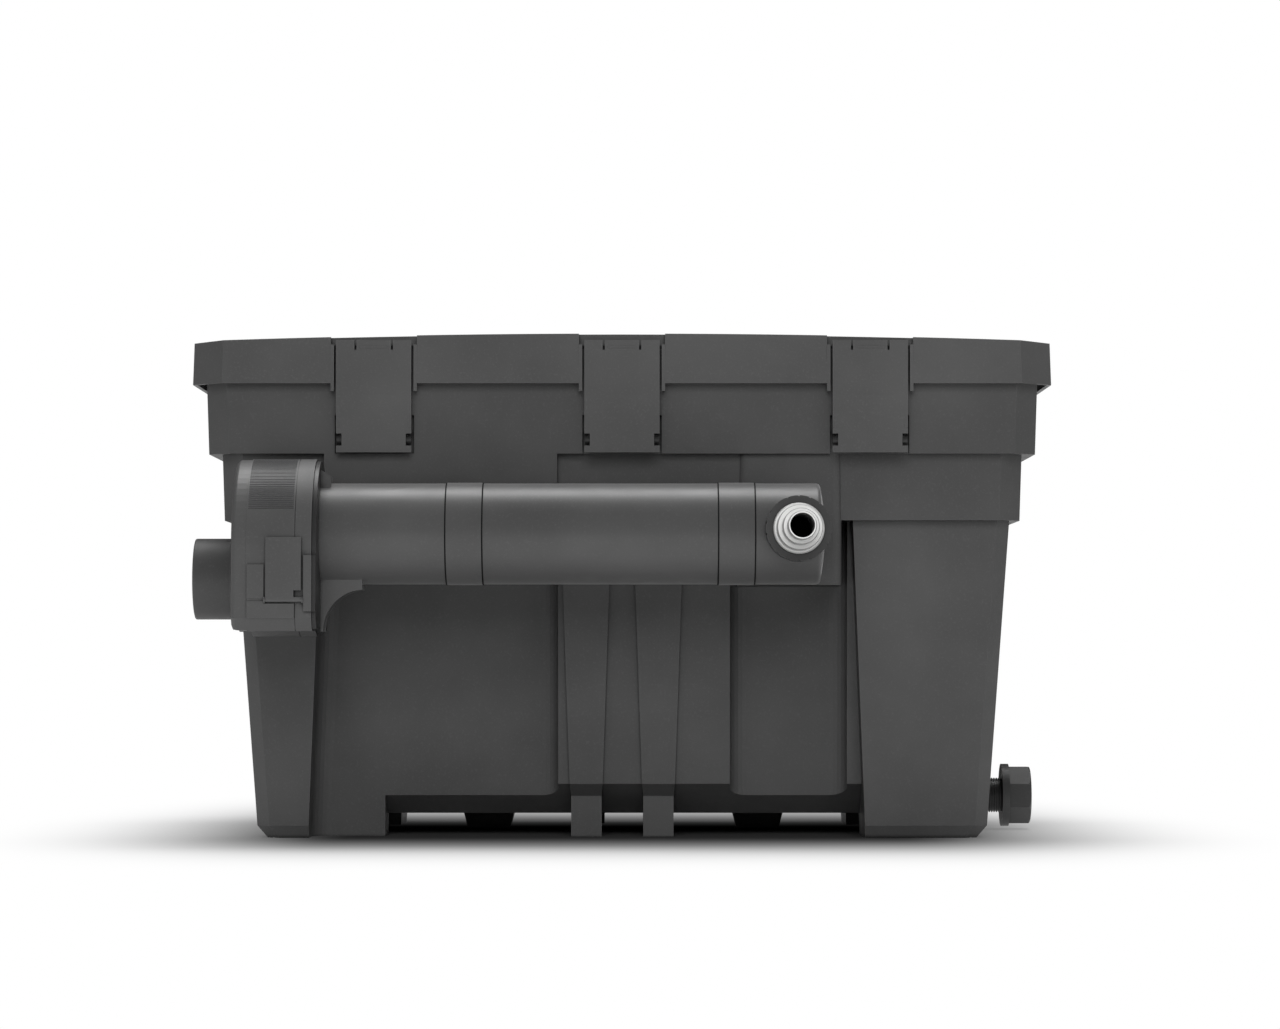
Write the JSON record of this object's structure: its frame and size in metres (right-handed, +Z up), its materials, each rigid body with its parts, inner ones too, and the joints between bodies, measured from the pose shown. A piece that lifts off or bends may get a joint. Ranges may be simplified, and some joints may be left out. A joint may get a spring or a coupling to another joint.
{
  "type": "canister filter",
  "caption": "Flow-through pond filter box: drafted tank with clipped hinged lid, UV clarifier tube with pull-out lamp head, stepped hose tail, outlet pipe, drain, dividers and filter media.",
  "frame": {"origin": "on the ground below the middle of the whole outline", "axes": "+X to the right along the UV tube, towards the drain; +Y to the back, towards the hinges; +Z up"},
  "size_m": [0.7902, 0.8018, 0.458],
  "materials": {
    "tank": "fine matt grain, anthracite",
    "dark": "matt, near black",
    "head": "satin, near black",
    "window": "smoked, translucent",
    "tail": "satin, off white",
    "rubber": "matt black",
    "steel": "satin",
    "quartz": "clear",
    "lamp": "white, coated",
    "socket": "white",
    "ballast": "potted block",
    "foam_blue": "coarse open foam",
    "foam_black": "medium open foam",
    "foam_green": "fine open foam",
    "basket": "matt grey",
    "ceramic": "porous ceramic"
  },
  "bodies": {
    "box": {"tank": "tank", "front_divider": "dark", "right_divider": "dark", "left_divider": "dark", "media_grid": "dark", "foam_coarse": "foam_blue", "foam_medium": "foam_black", "foam_fine": "foam_green", "media_basket": "basket", "ceramic_rings": "ceramic", "hinge_pins": "steel", "clip_pins": "steel", "outlet_pipe": "dark", "outlet_gasket": "rubber", "outlet_nut": "dark", "drain_spigot": "dark", "drain_gasket": "rubber", "drain_nut": "dark", "uv_tube": "head", "port_gasket": "rubber", "port_nut": "dark", "band_ring": "head", "coupling_ring": "head", "end_cap": "head", "end_cap_seal": "rubber", "end_cap_screws": "steel", "head_bracket": "dark", "bracket_screws": "steel"},
    "lid": {"lid": "tank", "lid_gasket": "rubber"},
    "clip_left": {"clip_left": "head"},
    "clip_centre": {"clip_centre": "head"},
    "clip_right": {"clip_right": "head"},
    "head": {"head_housing": "head", "head_cover": "head", "head_window": "window", "cable_grommet": "rubber", "head_seal": "rubber", "ballast": "ballast", "lamp_socket": "socket", "uv_lamp": "lamp", "quartz_sleeve": "quartz", "sleeve_nut": "dark", "latch_pin": "steel"},
    "latch": {"head_latch": "head"},
    "tail": {"hose_tail": "tail", "tail_gasket": "rubber"},
    "nut": {"union_nut": "dark"},
    "cap_washer": {"cap_seal": "rubber"},
    "cap": {"drain_cap": "dark"}
  },
  "joints": [
    {"name": "lid_hinge", "type": "hinge", "parent": "box", "child": "lid", "pos_m": [0.00056, 0.39438, 0.405], "axis": [-1, 0, 0], "range_deg": [0, 100]},
    {"name": "clip_left_pivot", "type": "hinge", "parent": "box", "child": "clip_left", "pos_m": [-0.22394, -0.18808, 0.362], "axis": [1, 0, 0], "range_deg": [0, 105]},
    {"name": "clip_centre_pivot", "type": "hinge", "parent": "box", "child": "clip_centre", "pos_m": [0.00056, -0.18808, 0.362], "axis": [1, 0, 0], "range_deg": [0, 105]},
    {"name": "clip_right_pivot", "type": "hinge", "parent": "box", "child": "clip_right", "pos_m": [0.22506, -0.18808, 0.362], "axis": [1, 0, 0], "range_deg": [0, 105]},
    {"name": "head_slide", "type": "slide", "parent": "box", "child": "head", "axis": [-1, 0, 0], "range_m": [0, 0.4]},
    {"name": "latch_pivot", "type": "hinge", "parent": "head", "child": "latch", "pos_m": [-0.29444, -0.32838, 0.215], "axis": [1, 0, 0], "range_deg": [0, 50]},
    {"name": "tail_slide", "type": "slide", "parent": "box", "child": "tail", "axis": [0, -1, 0], "range_m": [0, 0.0106]},
    {"name": "nut_turn", "type": "hinge", "parent": "tail", "child": "nut", "pos_m": [0.15616, -0.31188, 0.278], "axis": [0, -1, 0], "range_deg": [0, 1080]},
    {"name": "cap_slide", "type": "slide", "parent": "box", "child": "cap_washer", "axis": [1, 0, 0], "range_m": [0, 0.0254]},
    {"name": "cap_turn", "type": "hinge", "parent": "cap_washer", "child": "cap", "pos_m": [0.38759, 0.09565, 0.033], "axis": [1, 0, 0], "range_deg": [0, 3960]}
  ],
  "couplings": [
    {"joint": "tail_slide", "follows": "nut_turn", "m_per_rad": 0.00055704},
    {"joint": "cap_slide", "follows": "cap_turn", "m_per_rad": 0.00036606}
  ]
}
